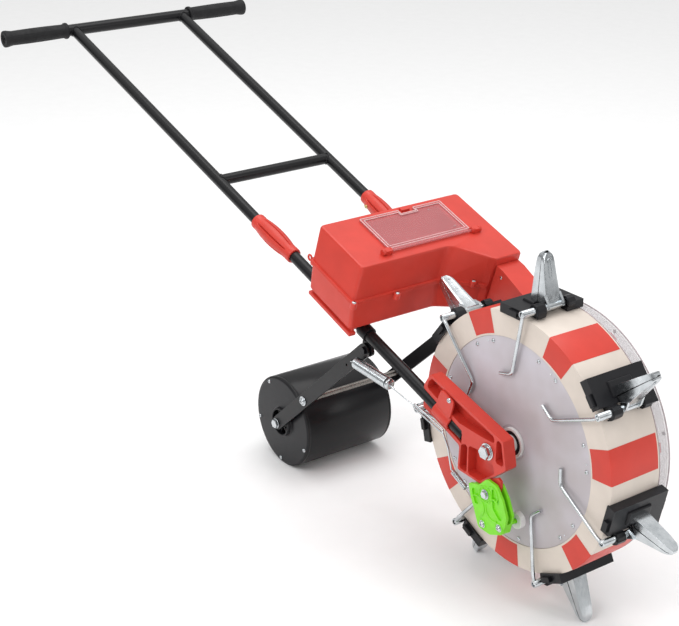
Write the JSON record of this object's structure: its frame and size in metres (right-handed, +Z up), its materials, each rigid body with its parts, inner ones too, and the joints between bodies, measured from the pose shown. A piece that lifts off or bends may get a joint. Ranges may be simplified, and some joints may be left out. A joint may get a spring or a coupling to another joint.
{
  "type": "garden spreader",
  "caption": "Hand-pushed garden spreader with a beaked planting wheel, tilted seed hopper, long T handle and a trailing press roller.",
  "frame": {"origin": "on the ground, under the middle of the whole object's box", "axes": "+X the way it is pushed, +Y its left side, +Z up; it stands on two beaks and the press roller"},
  "size_m": [1.5166, 0.53, 0.6823],
  "materials": {
    "red_plastic": "satin moulded",
    "black_paint": "semi-gloss",
    "black_plastic": "moulded",
    "grip_rubber": "matte",
    "zinc": "bright zinc plate",
    "beige_plastic": "moulded",
    "grey_plate": "satin sheet",
    "white_plastic": "moulded",
    "green_plastic": "satin moulded",
    "clear_plastic": "clear moulded"
  },
  "bodies": {
    "frame": {"handle_bar": "black_paint", "grip_right": "grip_rubber", "grip_left": "grip_rubber", "handle_tube_right": "black_paint", "handle_tube_left": "black_paint", "handle_crossbar": "black_paint", "connector_right": "red_plastic", "connector_left": "red_plastic", "lower_tube_right": "black_paint", "lower_tube_left": "black_paint", "side_bracket_right": "red_plastic", "side_bracket_left": "red_plastic", "tube_clip_right": "red_plastic", "tube_clip_left": "red_plastic", "axle_bolt": "zinc", "axle_nut": "zinc", "hopper_lower": "red_plastic", "hopper_upper": "red_plastic", "seed_chute": "red_plastic", "arm_hanger_right": "black_plastic", "arm_hanger_left": "black_plastic", "cam_pivot_bolt": "zinc", "tension_spring": "zinc", "pull_link": "zinc", "cam_spring": "zinc"},
    "wheel": {"wheel_rim": "beige_plastic", "side_plate": "grey_plate", "clear_cover": "clear_plastic", "wheel_hub": "white_plastic", "beak_base_1": "black_plastic", "beak_base_2": "black_plastic", "beak_base_3": "black_plastic", "beak_base_4": "black_plastic", "beak_base_5": "black_plastic", "beak_base_6": "black_plastic", "beak_base_7": "black_plastic", "fixed_beak_1": "zinc", "fixed_beak_2": "zinc", "fixed_beak_3": "zinc", "fixed_beak_4": "zinc", "fixed_beak_5": "zinc", "fixed_beak_6": "zinc", "fixed_beak_7": "zinc"},
    "lid": {"hopper_lid": "clear_plastic"},
    "roller_arms": {"roller_arm_right": "black_paint", "roller_arm_left": "black_paint", "tie_rod": "zinc", "roller_axle": "zinc"},
    "roller": {"roller_drum": "black_paint", "roller_cap_right": "black_plastic", "roller_cap_left": "black_plastic"},
    "cam": {"cam_arm": "green_plastic"},
    "cam_wheel": {"cam_roller": "white_plastic"},
    "flap_1": {"beak_flap_1": "zinc"},
    "flap_2": {"beak_flap_2": "zinc"},
    "flap_3": {"beak_flap_3": "zinc"},
    "flap_4": {"beak_flap_4": "zinc"},
    "flap_5": {"beak_flap_5": "zinc"},
    "flap_6": {"beak_flap_6": "zinc"},
    "flap_7": {"beak_flap_7": "zinc"}
  },
  "joints": [
    {"name": "wheel_spin", "type": "hinge", "parent": "frame", "child": "wheel", "pos_m": [0.4791, 0, 0.25841], "axis": [0, 1, 0], "continuous": true},
    {"name": "lid_hinge", "type": "hinge", "parent": "frame", "child": "lid", "pos_m": [0.20386, 0, 0.47725], "axis": [0, 1, 0], "range_deg": [0, 110]},
    {"name": "arm_drop", "type": "hinge", "parent": "frame", "child": "roller_arms", "pos_m": [0.1871, 0, 0.31441], "axis": [0, -1, 0], "range_deg": [0, 25], "deforming": ["tension_spring", "pull_link"]},
    {"name": "roller_spin", "type": "hinge", "parent": "roller_arms", "child": "roller", "pos_m": [-0.0722, 0, 0.082], "axis": [0, 1, 0], "continuous": true},
    {"name": "cam_swing", "type": "hinge", "parent": "frame", "child": "cam", "pos_m": [0.4841, 0, 0.19241], "axis": [0, -1, 0], "range_deg": [0, 15], "deforming": ["cam_spring"]},
    {"name": "cam_wheel_spin", "type": "hinge", "parent": "cam", "child": "cam_wheel", "pos_m": [0.5141, 0, 0.15141], "axis": [0, 1, 0], "continuous": true},
    {"name": "flap_1_hinge", "type": "hinge", "parent": "wheel", "child": "flap_1", "pos_m": [0.55151, 0, 0.05965], "axis": [0, 1, 0], "range_deg": [0, 20], "stiffness_Nm_per_rad": 0.6, "springref_deg": -20.05},
    {"name": "flap_2_hinge", "type": "hinge", "parent": "wheel", "child": "flap_2", "pos_m": [0.67965, 0, 0.1911], "axis": [0, 1, 0], "range_deg": [0, 20], "stiffness_Nm_per_rad": 0.6, "springref_deg": -20.05},
    {"name": "flap_3_hinge", "type": "hinge", "parent": "wheel", "child": "flap_3", "pos_m": [0.65677, 0, 0.37324], "axis": [0, 1, 0], "range_deg": [0, 20], "stiffness_Nm_per_rad": 0.6, "springref_deg": -20.05},
    {"name": "flap_4_hinge", "type": "hinge", "parent": "wheel", "child": "flap_4", "pos_m": [0.5001, 0, 0.46891], "axis": [0, 1, 0], "range_deg": [0, 20], "stiffness_Nm_per_rad": 0.6, "springref_deg": -20.05},
    {"name": "flap_5_hinge", "type": "hinge", "parent": "wheel", "child": "flap_5", "pos_m": [0.32761, 0, 0.40608], "axis": [0, 1, 0], "range_deg": [0, 20], "stiffness_Nm_per_rad": 0.6, "springref_deg": -20.05},
    {"name": "flap_6_hinge", "type": "hinge", "parent": "wheel", "child": "flap_6", "pos_m": [0.2692, 0, 0.23205], "axis": [0, 1, 0], "range_deg": [0, 20], "stiffness_Nm_per_rad": 0.6, "springref_deg": -20.05},
    {"name": "flap_7_hinge", "type": "hinge", "parent": "wheel", "child": "flap_7", "pos_m": [0.36884, 0, 0.07787], "axis": [0, 1, 0], "range_deg": [0, 20], "stiffness_Nm_per_rad": 0.6, "springref_deg": -20.05}
  ],
  "couplings": [
    {"joint": "cam_swing", "follows": "arm_drop", "ratio": 0.6}
  ]
}
